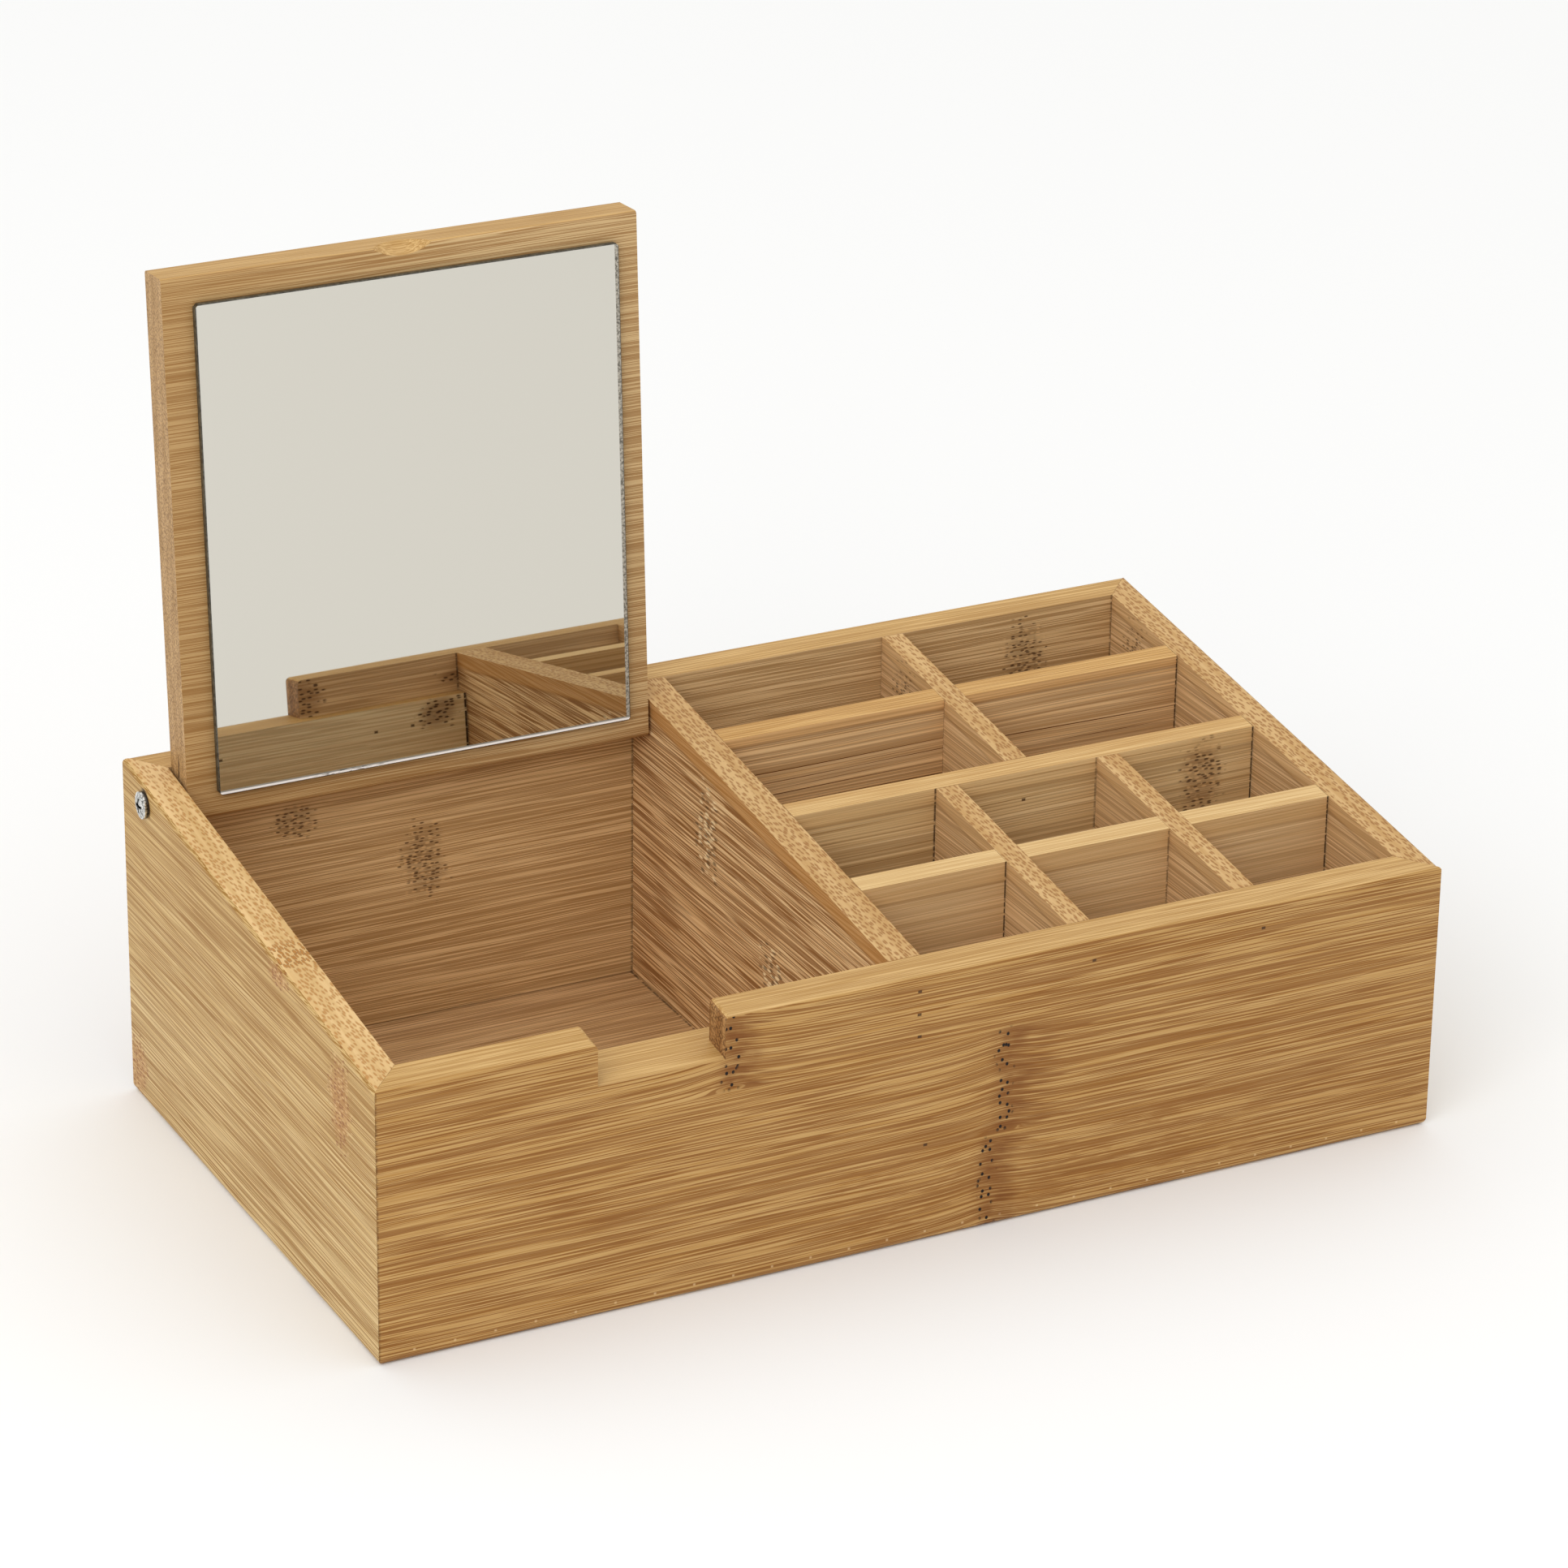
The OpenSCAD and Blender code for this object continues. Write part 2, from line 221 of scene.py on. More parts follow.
class Grain(Shader):
    """Bamboo in the making: u runs along the fibres, v across them and w through the board."""

    def __init__(self, name, axes, edges, run, seed):
        super().__init__(name)
        self.u, self.v, self.w = self.axes(axes)
        self.run, self.seed = run, seed
        self.color = self.height = None

        row = 0.0
        for edge in edges:
            row = self.add(row, self.math("GREATER_THAN", self.v, edge))
        self.chance = self.random(self.add(row, seed + 0.37))
        self.shifted = self.add(self.u, self.mul(self.chance, 900.0))

        # Fibres run nearly straight and lean a little from strip to strip
        waves = self.noise(self.vector(self.mul(self.u, 0.007), self.mul(self.v, 0.04), seed), 1.0)
        drift = self.mul(self.sub(waves, 0.5), 2.4)
        lean = self.mul(self.mul(self.u, self.sub(self.chance, 0.5)), 0.012)
        self.across = self.add(self.v, self.add(drift, lean))

        # How much of a culm node's core, stain, streaks and crumbs a point has
        self.core = self.smudge = self.reach = self.crumb = 0.0

    def over(self, mask, tint):
        """Paints a display colour over the board where the mask says."""
        self.color = self.mix(mask, self.color, srgb(*tint))

    def fibres(self, length, width, detail=2.0):
        along = self.mul(self.shifted, 1 / (length * self.run))
        place = self.vector(along, self.mul(self.across, 1 / width), self.mul(self.w, 1 / width))
        return self.noise(place, detail, 0.6)

    def marks(self, length, width, half, share, offset=0.0):
        """Thin lines with tapered ends: the middles of cells that are stretched along the fibres."""
        along = self.mul(self.add(self.shifted, offset), 1 / (length * self.run))
        distance, random = self.cells(self.vector(along, self.mul(self.across, 1 / width), 0.0))
        thick = half / width
        return self.mul(self.step(distance, thick, thick * 0.2), self.step(random, 1.0 - share, 1.3 - share))

    def grow_knots(self, knots, lift):
        """Places the culm nodes, beside which the fibres lift."""
        waves = self.noise(self.vector(0.0, self.mul(self.v, 0.12), self.seed), 2.0)
        wobble = self.mul(self.sub(waves, 0.5), 8.0)
        for place, low, high in knots:
            away = self.sub(self.add(self.u, wobble), place)
            inside = self.band(self.v, low - 1.0, low + 1.5, high - 1.5, high + 1.0)
            if lift:
                slant = self.math("POWER", self.mul(self.math("ABSOLUTE", away), 0.09), 2.0)
                bend = self.math("DIVIDE", 1.0, self.add(1.0, slant))
                self.across = self.sub(self.across, self.mul(self.mul(bend, inside), lift))
            self.core = self.add(self.core, self.mul(self.near(away, 0.0, 3.0, 1.6), inside))
            self.smudge = self.add(self.smudge, self.mul(self.near(away, 2.5, 8.5, 1.5), inside))
            self.reach = self.add(self.reach, self.mul(self.near(away, 6.0, 19.0, 2.0), inside))
            over = self.mul(self.sub(self.v, (low + high) / 2), 1.7 / (high - low))
            self.crumb = self.add(self.crumb, self.step(self.length(self.mul(away, 1 / 11.0), over), 1.1, 0.1))

    def stain_knots(self, stain, knot_color, fine, medium):
        """Culm nodes on a face cut along the fibres: a brown smudge, streaks and dark vessels."""
        patches = self.noise(self.vector(self.mul(self.u, 0.12), self.mul(self.v, 0.30), self.seed))
        patchy = self.step(patches, 0.40, 0.60)
        fibrous = self.step(self.add(self.mul(fine, 0.5), self.mul(medium, 0.5)), 0.58, 0.40)
        depth = self.add(0.25, self.add(self.mul(patchy, 0.4), self.mul(fibrous, 0.35)))
        self.over(self.mul(self.mul(self.smudge, depth), stain), knot_color)
        streaks = self.marks(16.0, 1.0, 0.36, 0.8, 11.0)
        self.over(self.mul(self.mul(streaks, self.reach), stain), knot_color)
        distance, chance = self.cells(self.vector(self.mul(self.u, 0.42), self.mul(self.v, 0.36), 0.0), 0.95)
        vessels = self.mul(self.mul(self.step(distance, 0.24, 0.15), self.step(chance, 0.12, 0.16)), self.core)
        self.over(vessels, VESSEL_BLACK)
        self.height = self.sub(self.height, self.mul(vessels, 0.6))

    def crumble_knots(self, shares, size, knot_color, fleck_color, dash_color, fine):
        """Culm nodes on a face cut across their fibres: crumbs of dark dashes and pale flecks."""
        dash_share, fleck_share, smudge_share = shares
        along, across = 1 / size[0], self.mul(self.v, 1 / size[1])
        dash_distance, dash_chance = self.cells(self.vector(self.mul(self.u, along), across, self.seed), 0.9)
        fleck_distance, fleck_chance = self.cells(
            self.vector(self.mul(self.add(self.u, 7.7), along), across, 0.0), 0.9)
        dash_here = self.step(self.sub(self.crumb, dash_chance), 0.05, 0.3)
        fleck_here = self.step(self.sub(self.crumb, fleck_chance), 0.1, 0.3)
        dashes = self.mul(self.step(dash_distance, 0.38, 0.18), dash_here)
        flecks = self.mul(self.step(fleck_distance, 0.42, 0.20), fleck_here)
        shade = self.mul(self.step(self.crumb, 0.25, 0.95), self.add(self.mul(fine, 0.8), 0.3))
        self.over(self.mul(shade, smudge_share), knot_color)
        self.over(self.mul(flecks, fleck_share), fleck_color)
        self.over(self.mul(dashes, dash_share), dash_color)
        self.height = self.sub(self.height, self.mul(dashes, 0.6))

    def blotches(self, low, high, left, right, share):
        """Short brown patches within a region of the face."""
        within = self.mul(self.band(self.v, low, low + 4.0, high - 2.0, high),
                          self.band(self.u, left, left + 20.0, right - 20.0, right))
        patches = self.step(self.fibres(9.0, 2.0), 0.50, 0.62)
        self.over(self.mul(self.mul(patches, within), share), BLOTCH_BROWN)

    def foot_marks(self, high, pitch):
        """A row of small pale marks along the foot of the board."""
        distance = self.most(self.math("PINGPONG", self.u, pitch / 2), self.apart(self.v, high))
        self.over(self.mul(self.step(distance, 0.5, 0.15), 0.5), FOOT_MARK)

    def rounded_cap(self, depth, tint, share, line):
        """The smoother band under the rounded top edge."""
        x, y, z = self.place()
        sloped_top = self.add(self.mul(self.add(y, HALF_DEPTH), math.tan(SLOPE)), FRONT_HEIGHT)
        below = self.sub(sloped_top, z)
        self.over(self.mul(self.step(below, depth + 0.6, depth - 0.6), share), tint)
        self.over(self.mul(self.near(below, depth, 0.7, 0.2), 0.35), line)

    def speck(self, place, high):
        """A small dark hole in the wood."""
        distance = self.most(self.mul(self.apart(self.u, place), 0.7), self.apart(self.v, high))
        self.over(self.mul(self.step(distance, 0.55, 0.3), 0.85), SPECK_DARK)

    def screw_shade(self, inner, outer, share):
        """A painted shadow: the dark crescent at the edge of the screw's hole, on the side away from the light."""
        ring = self.band(self.from_axis(self.u, self.v), inner - 0.3, inner, outer - 0.8, outer)
        ahead, above = self.mul(self.sub(PIVOT.y, self.u), 0.8), self.mul(self.sub(self.v, PIVOT.z), 0.6)
        turned = self.step(self.add(ahead, above), 0.0, 3.0)
        self.over(self.mul(self.mul(ring, turned), share), HOLE_SHADE)

    def joint(self, place, share):
        """A dark, broken line where another board meets the face."""
        stained = self.step(self.noise(self.vector(0.0, self.mul(self.v, 0.9), place), 2.0), 0.36, 0.50)
        self.over(self.mul(self.mul(self.near(self.u, place, 0.5, 0.2), stained), share), JOINT_DARK)


def bamboo(name, axes, light, dark, line, edges=(), pitch=1.2, run=1.4, spread=0.13, lines=0.85, bold=0.8,
           hairs=0.8, paler=None, blotch=None, marks_row=None, cap=None, joints=(), specks=(), hole=None,
           knots=(), lift=0.0, stain=0.0, crumbs=None, crumb_size=(2.7, 1.0), knot_color=KNOT_BROWN,
           fleck_color=FLECK_PALE, dash_color=DASH_DARK, seed=0.0):
    """Long bamboo fibres: strips glued edge to edge, fine dark lines, and culm nodes.

    light, dark, line: display colours of the fibres and of the fine lines
    edges: where the strips meet, across the fibres
    pitch, run: width and length of the fibres; spread: how softly their tones meet
    lines, bold, hairs: shares of the fine lines, the long ones and the hair-thin ones
    paler: painted light, a slope of the tone across the face: the middle and the rise of the tone along u, and the
    same along v
    knots: (place, low, high) of each culm node; lift: how far the fibres rise beside it
    stain: share of its brown; crumbs: shares of its dashes, flecks and smudge
    joints: (place, share) and specks: (place, height) of dark lines and of small holes
    """
    s = Grain(name, axes, edges, run, seed)
    s.grow_knots(knots, lift)

    broad = s.fibres(60.0, 6.0)
    medium = s.fibres(38.0, pitch * 0.8, 1.0)
    fine = s.fibres(20.0, pitch * 0.32, 1.0)
    tone = s.add(s.add(s.mul(broad, 0.20), s.mul(medium, 0.18)), s.mul(fine, 0.62))
    tone = s.add(tone, s.mul(s.sub(s.chance, 0.5), 0.06))
    # Painted light: the tone slopes across the face
    if paler:
        middle_u, per_u, middle_v, per_v = paler
        tone = s.add(tone, s.add(s.mul(s.sub(s.u, middle_u), per_u), s.mul(s.sub(s.v, middle_v), per_v)))
    s.color = s.mix(s.step(tone, 0.5 - spread, 0.5 + spread), srgb(*dark), srgb(*light))

    group = s.step(s.fibres(120.0, 6.0), 0.34, 0.62)
    long_lines = s.marks(260.0, pitch * 1.45, pitch * 0.22, 0.9)
    short_lines = s.marks(55.0, pitch, pitch * 0.20, 0.9, 37.0)
    veins = s.most(s.mul(long_lines, bold), s.mul(short_lines, s.add(0.3, s.mul(group, 0.6))))
    close = s.step(s.fibres(85.0, pitch * 0.55, 0.0), 0.47, 0.37)
    hair = s.step(s.fibres(26.0, pitch * 0.32, 0.0), 0.48, 0.39)
    veins = s.most(veins, s.most(s.mul(close, hairs * 0.8), s.mul(hair, hairs)))
    for edge in edges:
        veins = s.most(veins, s.mul(s.near(s.v, edge, 0.45, 0.1), 0.6))
    s.over(s.mul(veins, lines), line)
    s.height = s.sub(s.mul(fine, 0.5), s.mul(veins, 0.8))

    if blotch:
        s.blotches(*blotch)
    if marks_row:
        s.foot_marks(*marks_row)
    if knots and stain:
        s.stain_knots(stain, knot_color, fine, medium)
    if knots and crumbs:
        s.crumble_knots(crumbs, crumb_size, knot_color, fleck_color, dash_color, fine)
    if cap:
        s.rounded_cap(*cap, line)
    for speck in specks:
        s.speck(*speck)
    # A painted shadow crescent beside the screw's hole
    if hole:
        s.screw_shade(*hole)
    for joint in joints:
        s.joint(*joint)
    return s.surface(s.color, 0.5, s.bump(s.height, 0.03), specular=0.22)


def cut_fibres(name, axes, light, dark, dash, angle=-0.12, density=0.75, length=3.6, width=0.95, knots=()):
    """A top cut slightly across the fibres, whose bundles show as short dashes in loose rows."""
    s = Shader(name)
    u, v, w = s.axes(axes)
    turn_cos, turn_sin = math.cos(angle), math.sin(angle)
    sway = s.mul(s.sub(s.noise(s.vector(s.mul(u, 0.03), s.mul(v, 0.10), 0.0), 1.0), 0.5), 3.0)
    p = s.add(s.add(s.mul(u, turn_cos), s.mul(v, turn_sin)), sway)
    q = s.add(s.sub(s.mul(v, turn_cos), s.mul(u, turn_sin)), s.mul(sway, 0.4))
    distance, chance = s.cells(s.vector(s.mul(p, 1 / length), s.mul(q, 1 / width), 0.0), 0.8)
    cluster = s.noise(s.vector(s.mul(u, 0.11), s.mul(v, 0.22), 3.0), 1.0)
    knot = 0.0
    for place in knots:
        knot = s.add(knot, s.near(u, place, 9.0, 3.0))
    wanted = s.step(s.add(s.add(chance, knot), s.mul(s.sub(cluster, 0.5), 1.8)), 1.0 - density, 1.1 - density)
    marks = s.mul(s.step(distance, 0.36, 0.26), wanted)
    rim = s.mul(s.near(distance, 0.37, 0.09, 0.02), wanted)
    broad = s.noise(s.vector(s.mul(u, 0.02), s.mul(v, 0.5), s.mul(w, 0.1)), 3.0)
    color = s.mix(s.step(broad, 0.35, 0.65), srgb(*dark), srgb(*light))
    color = s.mix(s.mul(marks, s.add(0.75, s.mul(knot, 0.25))), color, srgb(*dash))
    color = s.mix(s.mul(rim, s.add(0.25, s.mul(knot, 0.6))), color, srgb(*DASH_RIM))
    return s.surface(color, 0.5, s.bump(s.mul(marks, -1.0), 0.02), specular=0.22)


def end_grain(name, light, dark, pore, strength, size=0.8, crack=None):
    """A face cut square across the fibres: the bundles show as a fine net of dark curls."""
    s = Shader(name)
    x, y, z = s.place()
    twist = s.mul(s.noise(s.vector(0.0, s.mul(y, 0.5), s.mul(z, 0.5)), 1.0), 2.0)
    across = s.vector(s.add(s.mul(y, 1 / size), twist), s.add(s.mul(z, 1 / size), twist), 0.0)
    distance, chance = s.cells(across, 0.9)
    curls = s.mul(s.step(distance, 0.30, 0.46), s.add(0.4, s.mul(chance, 0.6)))
    layers = s.noise(s.vector(0.0, s.mul(y, 0.35), s.mul(z, 0.06)), 2.0)
    color = s.mix(s.step(layers, 0.3, 0.7), srgb(*dark), srgb(*light))
    color = s.mix(s.mul(curls, strength), color, srgb(*pore))
    if crack:
        place, low, high = crack
        tall = s.band(z, low - 0.5, low + 0.5, high - 1.0, high + 2.0)
        color = s.mix(s.mul(s.near(y, place, 0.55, 0.2), tall), color, srgb(*CRACK_DARK))
    return s.surface(color, 0.55, s.bump(s.mul(curls, -1.0), 0.03), specular=0.25)


def glass_edge():
    """The ground edge of the mirror plate: dark grey-green with a mottled grind."""
    s = Shader("mirror_edge")
    mottle = s.grit(0.9)
    color = s.mix(s.step(mottle, 0.35, 0.65), srgb(40, 36, 26), srgb(88, 84, 70))
    return s.surface(color, 0.35, s.bump(mottle, 0.05))


def silver():
    """The silvered glass, with its ground edge seen through it along the right and the bottom: the edge's own grey
    with painted light on it.
    """
    s = Shader("mirror_silver")
    x, y, z = s.place()
    up_lid = s.add(s.mul(s.sub(y, PIVOT.y), math.sin(LEAN)), s.mul(s.sub(z, PIVOT.z), math.cos(LEAN)))
    foot_end, side_start = MIRROR_FOOT + MIRROR_BAND, MIRROR_RIGHT - MIRROR_BAND
    foot = s.step(up_lid, foot_end + 0.1, foot_end - 0.1)
    side = s.step(x, side_start - 0.1, side_start + 0.1)

    # The foot is a painted white highlight with a few dark chips; the side is mottled grey, partly its own colour and
    # partly painted light
    painted_foot_highlight = s.step(up_lid, MIRROR_FOOT + 1.05, MIRROR_FOOT + 0.85)
    foot_color = s.mix(painted_foot_highlight, srgb(150, 147, 136), srgb(255, 253, 250))
    streak = s.step(s.noise(s.vector(s.mul(x, 0.35), s.mul(z, 2.5), 0.0), 2.0), 0.50, 0.62)
    chips = s.mul(s.near(x, -105.0, 16.0, 4.0), streak)
    foot_color = s.mix(s.mul(chips, 0.85), foot_color, srgb(70, 74, 66))
    mottle = s.noise(s.vector(s.mul(x, 1.1), s.mul(z, 1.1), 0.0), 3.0, 0.7)
    side_color = s.mix(s.step(mottle, 0.35, 0.65), srgb(96, 92, 82), srgb(190, 184, 170))

    mirror = s.node("ShaderNodeBsdfPrincipled")
    s.put(mirror.inputs["Base Color"], (0.645, 0.62, 0.555, 1.0))
    s.put(mirror.inputs["Metallic"], 1.0)
    s.put(mirror.inputs["Roughness"], 0.015)
    ground = s.node("ShaderNodeBsdfPrincipled")
    s.put(ground.inputs["Base Color"], s.mix(foot, side_color, foot_color))
    s.put(ground.inputs["Roughness"], 0.5)
    both = s.node("ShaderNodeMixShader", s.most(foot, side), mirror.outputs[0], ground.outputs[0])
    s.put(s.output.inputs["Surface"], both.outputs[0])
    return s.material


def zinc():
    """Zinc-plated screw metal, mottled, with painted shade: near black in the cross recess of each of the two heads,
    and dark on the sides of the heads.
    """
    s = Shader("screw_zinc")
    x, y, z = s.place()
    grit = s.grit(1.4)
    color = s.mix(s.step(grit, 0.38, 0.60), srgb(112, 112, 108), srgb(236, 236, 232))
    radius = s.from_axis(y, z)
    left, right = SCREW_HEADS_X
    depth = s.sub((right - left) / 2, s.apart(x, (left + right) / 2))
    # Painted shade: the cross recess in each head is coloured near black for the shade inside it
    recess = s.mul(s.band(depth, 0.35, 0.6, 1.3, 1.5), s.step(radius, SCREW_RECESS_R, SCREW_RECESS_R - 0.2))
    color = s.mix(recess, color, srgb(10, 10, 9))
    # Painted shade on the sides of the heads, which stand out of the wood
    shade = s.mul(s.step(depth, 1.0, 1.4), s.step(radius, SCREW_RECESS_R + 0.2, SCREW_RECESS_R + 0.5))
    color = s.mix(s.mul(shade, 0.85), color, srgb(52, 44, 36))
    return s.surface(color, 0.34, s.bump(grit, 0.10), metallic=1.0)


def film():
    """The mounting film behind the glass."""
    s = Shader("mounting_film")
    grit = s.grit(1.5, detail=2.0, roughness=0.5)
    return s.surface(s.mix(grit, srgb(206, 204, 198), srgb(232, 230, 224)), 0.7)


def paint(node, default, *rules):
    """Gives each face of a CAD node the material of the first rule whose direction it faces."""
    mesh = nodes[node].data
    mesh.materials.clear()
    mesh.materials.append(default)
    for _, material in rules:
        mesh.materials.append(material)
    for face in mesh.polygons:
        face.material_index = 0
        for number, (direction, _) in enumerate(rules, start=1):
            if face.normal.dot(Vector(direction).normalized()) > 0.75:
                face.material_index = number
                break


def soften(node, width, angle):
    """Rounds the sharp edges of a CAD node a little."""
    made = nodes[node]
    weld = made.modifiers.new("weld", "WELD")
    weld.merge_threshold = 0.002 * MM
    bevel = made.modifiers.new("soft_edges", "BEVEL")
    bevel.width = width * MM
    bevel.segments = 3
    bevel.limit_method = "ANGLE"
    bevel.angle_limit = math.radians(angle)
    bevel.use_clamp_overlap = True


# The outer boards
OUTER = dict(pitch=1.05, lines=0.95, lift=2.2, stain=0.9)
front_face = bamboo(
    "bamboo_front", X_FACE, (198, 158, 99), (178, 132, 69), (124, 69, 6), edges=(30.0, 62.0),
    knots=[(-61.0, 60.0, 84.0), (23.8, 29.0, 61.0), (19.0, 0.0, 28.0)],
    blotch=(0.0, 28.0, -40.0, 120.0, 0.45), marks_row=(3.0, 11.9), joints=[(-164.8, 0.35)],
    specks=[(-3.3, 77.6), (-3.3, 70.6), (-3.1, 63.9), (-0.5, 30.1), (51.5, 75.9), (106.2, 74.8)], **OUTER,
)
back_outer = bamboo(
    "bamboo_back_outer", X_FACE, (198, 158, 99), (178, 132, 69), (124, 69, 6), edges=(38.0, 76.0),
    knots=[(88.0, 40.0, 73.0), (-66.0, 0.0, 36.0)], specks=[(30.2, 88.0), (-104.0, 61.5), (61.0, 20.4)],
    seed=1.5, **OUTER,
)
# The side boards are painted lighter towards the bottom, as painted light
SIDE = dict(
    edges=(28.0, 62.0), pitch=0.8, lines=0.9, hairs=0.95, paler=(0.0, 0.0, 50.0, -0.0034), crumbs=(0.9, 0.5, 0.75),
    knot_color=(180, 124, 68), dash_color=(146, 92, 44), fleck_color=(226, 190, 136),
)
side_face = bamboo(
    "bamboo_side", Y_FACE, (219, 190, 136), (205, 170, 110), (148, 100, 25), hole=(3.0, 5.2, 0.95),
    knots=[(-67.5, 50.0, 86.0), (86.0, -4.0, 22.0), (-24.0, 82.0, 91.0)], seed=5.0, **SIDE,
)
right_face = bamboo(
    "bamboo_right", Y_FACE, (219, 190, 136), (205, 170, 110), (148, 100, 25), knots=[(40.0, 40.0, 70.0)],
    seed=5.5, **SIDE,
)
# Painted light: the inner faces of the back and front panels and the floor inside the box are painted paler than the
# outer faces of the same boards, standing in for the light that fills the box
back_face = bamboo(
    "bamboo_back", X_FACE, (229, 194, 144), (211, 174, 122), (156, 116, 67), edges=(32.0, 68.0), pitch=0.75,
    lines=0.8, hairs=0.95, knots=[(-116.0, 73.0, 88.0), (-76.0, 44.0, 76.0), (124.5, 68.0, 106.0)],
    crumbs=(0.85, 0.6, 0.5), crumb_size=(2.4, 0.9), knot_color=(104, 76, 46), dash_color=(78, 52, 30),
    joints=[(-8.2, 0.45), (154.8, 0.45)], seed=2.0,
)
front_inner = bamboo(
    "bamboo_front_inner", X_FACE, (244, 213, 168), (220, 185, 138), (176, 141, 97), edges=(30.0, 62.0), lines=0.7,
    knots=[(-61.0, 68.0, 86.0), (-8.0, 73.0, 79.0)], crumbs=(0.9, 0.2, 0.6), joints=[(-8.2, 0.6)], seed=14.0,
)
floor_face = bamboo(
    "bamboo_floor", X_FLAT, (227, 189, 141), (201, 161, 111), (130, 87, 42), edges=(-30.0, 10.0), pitch=0.9,
    lines=0.8, joints=[(-8.4, 0.7)], seed=3.0,
)

# The boards inside, painted paler than the outer boards as painted light that stands in for the light filling the box
part_face = bamboo(
    "bamboo_partition", Y_FACE, (255, 224, 173), (223, 182, 129), (142, 93, 45), edges=(28.0, 60.0), run=1.2,
    lines=1.0, hairs=0.9, knots=[(31.0, 58.0, 94.0), (-11.0, 30.0, 62.0)], crumbs=(0.65, 1.0, 0.2),
    crumb_size=(4.2, 1.2), fleck_color=(255, 232, 186), cap=(5.0, (196, 142, 78), 0.7), seed=9.0,
)
strip_face = bamboo(
    "bamboo_strip", X_FACE, (255, 243, 203), (243, 221, 179), (197, 172, 129), pitch=1.3, lines=0.7,
    knots=[(-18.0, 60.0, 74.0)], crumbs=(0.95, 0.2, 0.8), knot_color=(120, 76, 30), joints=[(-8.6, 1.0)],
    specks=[(-39.5, 64.0), (-92.0, 64.0), (-27.0, 64.0)], seed=15.0,
)
THIN = dict(pitch=1.3, run=3.0)
rail_face = bamboo(
    "bamboo_rail", X_FACE, (235, 204, 153), (211, 176, 123), (127, 86, 36), edges=(36.0, 66.0), lines=0.9, bold=1.0,
    hairs=0.45, knots=[(137.5, 64.0, 98.0)], crumbs=(0.8, 0.6, 0.6), cap=(5.0, (222, 180, 120), 0.4),
    joints=[(48.2, 0.8), (101.5, 0.4), (154.8, 0.95)], specks=[(77.5, 84.5)], seed=4.0, **THIN,
)
rear_cross_face = bamboo(
    "bamboo_rear_cross", X_FACE, (238, 199, 146), (214, 171, 116), (92, 45, 0), edges=(40.0, 70.0), lines=1.0,
    bold=1.0, hairs=0.4, cap=(3.0, (216, 164, 100), 0.5), joints=[(154.8, 0.95)], seed=6.0, **THIN,
)
CROSS = dict(edges=(36.0, 66.0), lines=0.6, hairs=0.45, cap=(6.0, (208, 162, 100), 0.35), **THIN)
cross_face = bamboo(
    "bamboo_cross", X_FACE, (234, 199, 150), (210, 173, 122), (138, 98, 52),
    joints=[(48.2, 0.9), (101.5, 0.5), (154.8, 0.95)], seed=6.5, **CROSS,
)
cross_back = bamboo(
    "bamboo_cross_back", X_FACE, (234, 199, 150), (210, 173, 122), (138, 98, 52), seed=6.8, **CROSS,
)
divider_face = bamboo(
    "bamboo_divider", Y_FACE, (238, 201, 152), (212, 173, 122), (129, 87, 43), edges=(40.0, 70.0), lines=0.9,
    hairs=0.5, knots=[(66.0, 70.0, 106.0)], crumbs=(0.7, 0.6, 0.2), cap=(4.5, (206, 160, 100), 0.35),
    seed=7.0, **THIN,
)

# The lid
# The lid is painted lighter towards the right, as painted light
lid_face = bamboo(
    "bamboo_lid", X_FACE, (208, 176, 127), (191, 154, 102), (144, 98, 44), edges=(120.0, 150.0, 180.0, 212.0),
    pitch=0.75, spread=0.15, lines=0.9, paler=(-95.0, 0.0032, 0.0, 0.0), seed=12.0,
)

# Tops and ends
rail_top = bamboo(
    "bamboo_rail_top", X_FLAT, (226, 190, 130), (200, 158, 96), (176, 128, 68), pitch=0.9, lines=0.7, seed=21.0,
)
rear_cross_top = bamboo(
    "bamboo_rear_cross_top", X_FLAT, (222, 180, 116), (198, 152, 86), (164, 114, 52), pitch=0.9, lines=0.8,
    seed=22.0,
)
cross_top = bamboo(
    "bamboo_cross_top", X_FLAT, (230, 197, 140), (210, 172, 112), (182, 136, 76), pitch=0.9, lines=0.6, seed=23.0,
)
long_top = bamboo(
    "bamboo_long_top", X_FLAT, (218, 180, 120), (192, 151, 89), (155, 107, 44), pitch=0.9, lines=0.7, seed=8.0,
)
side_top = cut_fibres(
    "bamboo_side_top", Y_FLAT, (226, 190, 134), (212, 174, 116), (180, 124, 60), density=0.85, length=2.8,
    width=0.85, knots=[-22.5],
)
part_top = cut_fibres(
    "bamboo_partition_top", Y_FLAT, (210, 172, 116), (194, 152, 94), (152, 100, 44), angle=-0.08, density=0.95,
    length=3.0, width=0.9,
)
lid_end = end_grain("bamboo_lid_end", (202, 164, 114), (178, 140, 90), (112, 76, 38), 0.65, crack=(74.8, 103.5, 109.0))
notch_end = end_grain("bamboo_notch_end", (190, 146, 94), (160, 114, 66), (84, 52, 26), 0.8, size=1.0)

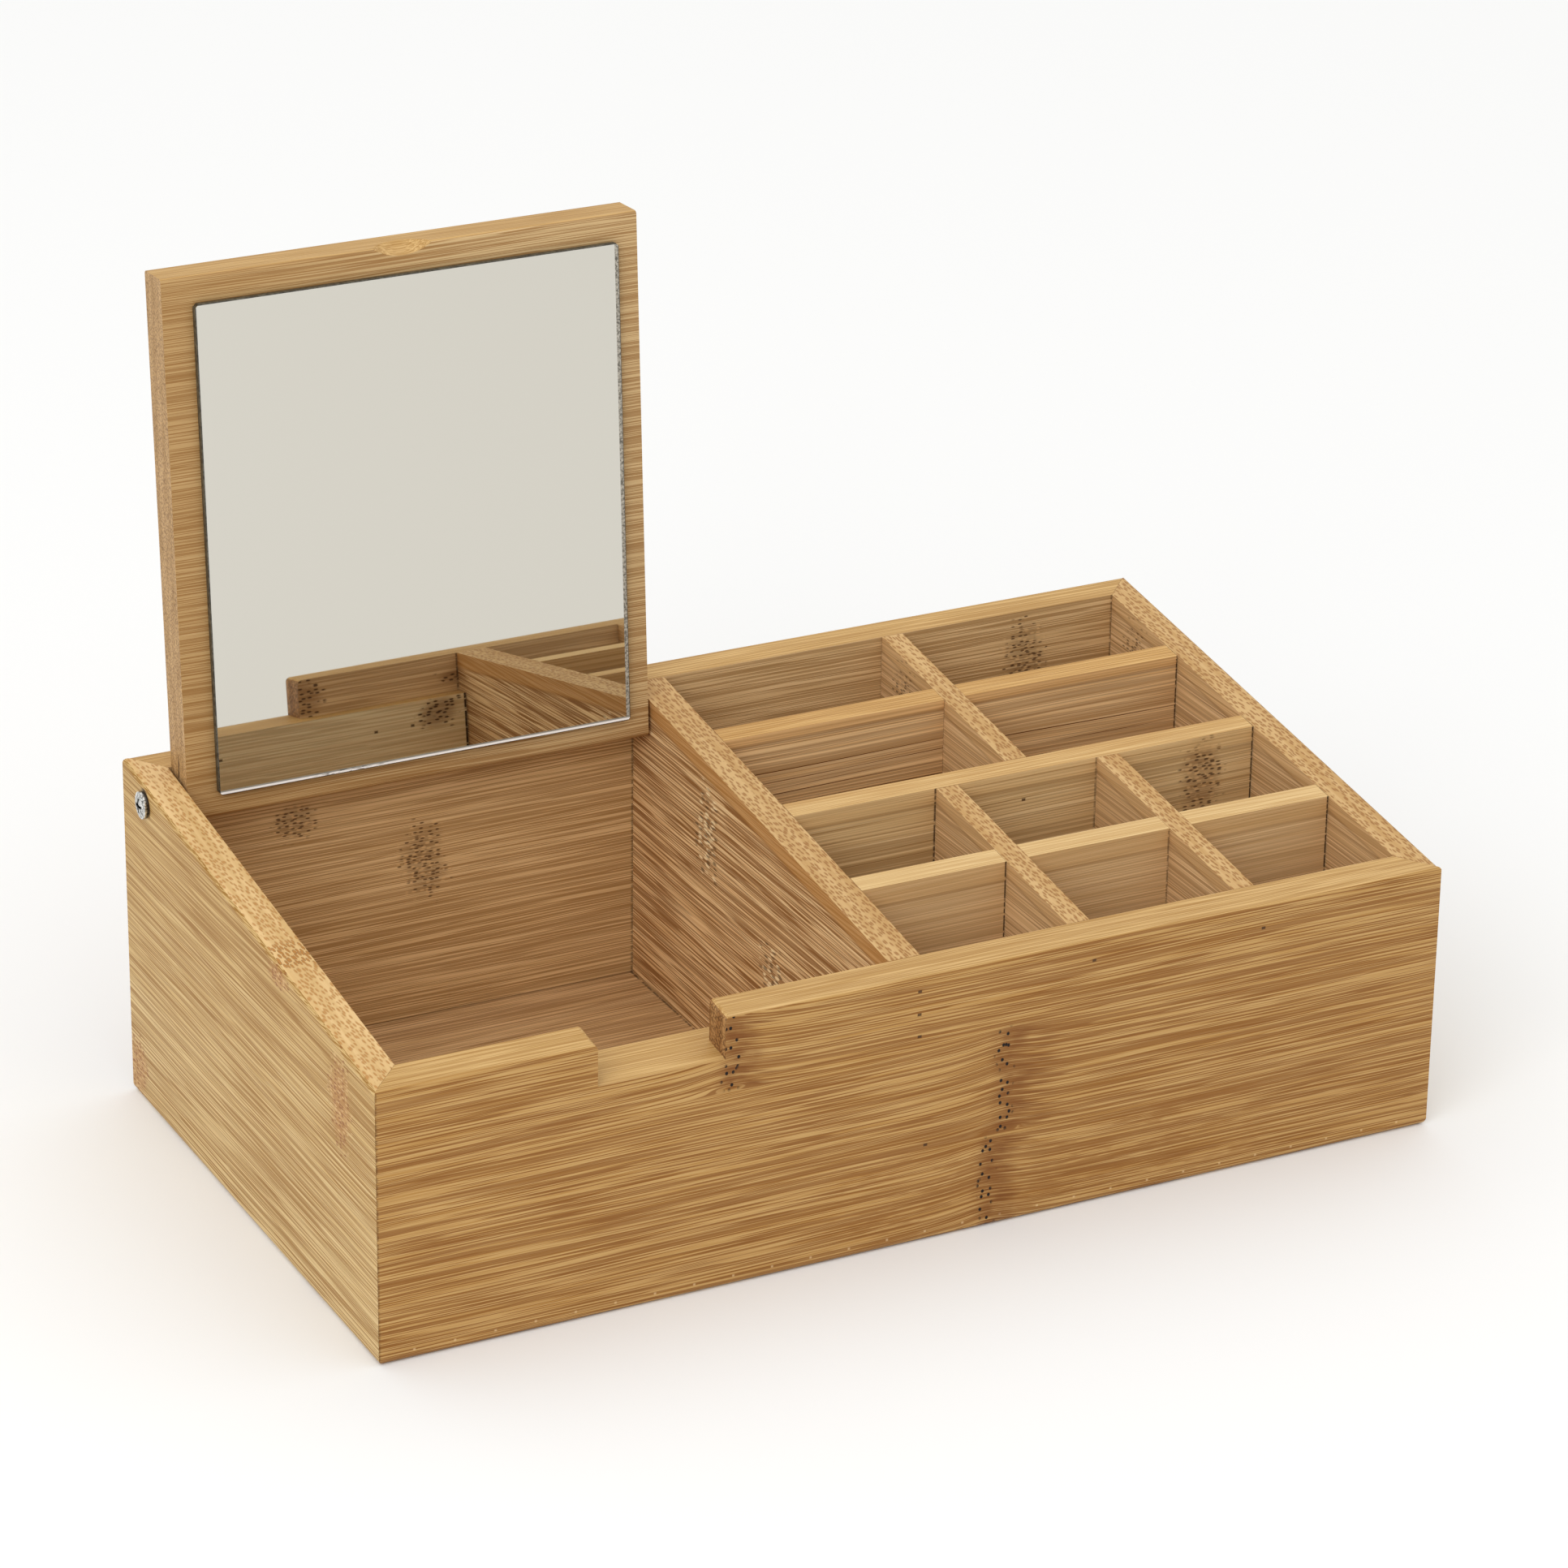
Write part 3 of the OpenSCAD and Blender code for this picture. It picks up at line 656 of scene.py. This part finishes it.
paint("front_panel", front_face, (UP, long_top), (LEFT, notch_end), (RIGHT, notch_end), (BACK, front_inner))
paint("back_panel", back_face, (UP, long_top), (BACK, back_outer))
paint("left_side", side_face, (UP, side_top), (RIGHT, part_face))
paint("right_side", divider_face, (UP, part_top), (RIGHT, right_face))
paint("bottom_panel", floor_face)
paint("partition", part_face, (UP, part_top))
paint("lid_rest_strip", strip_face, (UP, long_top), (RIGHT, lid_end), (LEFT, lid_end))
paint("mid_rail", rail_face, (UP, rail_top), (BACK, cross_back))
paint("rear_cross_divider", rear_cross_face, (UP, rear_cross_top), (BACK, cross_back))
paint("front_cross_divider", cross_face, (UP, cross_top), (BACK, cross_back))
for divider in ("rear_divider", "front_left_divider", "front_right_divider"):
    paint(divider, divider_face, (UP, part_top))
paint("lid_panel", lid_face, (LEFT, lid_end), (RIGHT, lid_end), (LID_TIP, long_top))
paint("mirror_glass", glass_edge(), (MIRROR_OUT, silver()))
paint("mirror_adhesive", film())
paint("pivot_screws", zinc())
soften("lid_panel", width=1.3, angle=50.0)


# Floor, lights and camera
def floor(half):
    mesh = bpy.data.meshes.new("stage_floor")
    mesh.from_pydata([(-half, -half, 0), (half, -half, 0), (half, half, 0), (-half, half, 0)], [], [(0, 1, 2, 3)])
    made = bpy.data.objects.new("stage_floor", mesh)
    bpy.context.scene.collection.objects.link(made)
    s = Shader("stage_floor")
    mesh.materials.append(s.surface((0.92, 0.92, 0.91, 1.0), 0.9, specular=0.1))


def softbox(name, place, aim, size, power):
    light = bpy.data.lights.new(name, "AREA")
    light.shape = "RECTANGLE"
    light.size, light.size_y = size
    light.energy = power
    made = bpy.data.objects.new(name, light)
    made.location = place
    made.rotation_euler = (Vector(aim) - Vector(place)).to_track_quat("-Z", "Y").to_euler()
    bpy.context.scene.collection.objects.link(made)


def sky(horizon, zenith):
    """An even white tent that is brighter overhead than at the sides."""
    world = bpy.data.worlds.new("studio")
    world.use_nodes = True
    tree = world.node_tree
    direction = tree.nodes.new("ShaderNodeTexCoord").outputs["Generated"]
    split = tree.nodes.new("ShaderNodeSeparateXYZ")
    ramp = tree.nodes.new("ShaderNodeMapRange")
    tree.links.new(direction, split.inputs[0])
    tree.links.new(split.outputs["Z"], ramp.inputs["Value"])
    ramp.inputs["To Min"].default_value = horizon
    ramp.inputs["To Max"].default_value = zenith
    background = tree.nodes["Background"]
    background.inputs["Color"].default_value = (1.0, 1.0, 1.0, 1.0)
    tree.links.new(ramp.outputs["Result"], background.inputs["Strength"])
    bpy.context.scene.world = world


def camera():
    """The camera that took the photograph, as far as the object's corners tell."""
    ahead = Vector((
        math.sin(CAMERA_AZIMUTH) * math.cos(CAMERA_DOWN),
        math.cos(CAMERA_AZIMUTH) * math.cos(CAMERA_DOWN),
        -math.sin(CAMERA_DOWN),
    ))
    level = Vector((math.cos(CAMERA_AZIMUTH), -math.sin(CAMERA_AZIMUTH), 0))
    above = level.cross(ahead)
    right = math.cos(CAMERA_ROLL) * level + math.sin(CAMERA_ROLL) * above
    top = -math.sin(CAMERA_ROLL) * level + math.cos(CAMERA_ROLL) * above
    data = bpy.data.cameras.new("camera")
    data.sensor_width = 36.0
    data.lens = FOCAL_PX / PHOTO_WIDTH * data.sensor_width
    data.shift_x, data.shift_y = LENS_SHIFT
    data.clip_start, data.clip_end = 0.05, 60.0
    made = bpy.data.objects.new("camera", data)
    turn = Matrix((right, top, -ahead)).transposed().to_4x4()
    made.matrix_world = Matrix.Translation(CAMERA_MM * MM) @ turn
    bpy.context.scene.collection.objects.link(made)
    bpy.context.scene.camera = made


floor(half=12.0)
sky(horizon=0.40, zenith=1.30)
softbox("side_light", place=(-1.6, -1.3, 1.3), aim=(0.0, 0.0, 0.05), size=(1.4, 1.4), power=15.0)
camera()
bpy.context.scene.view_settings.view_transform = "Standard"
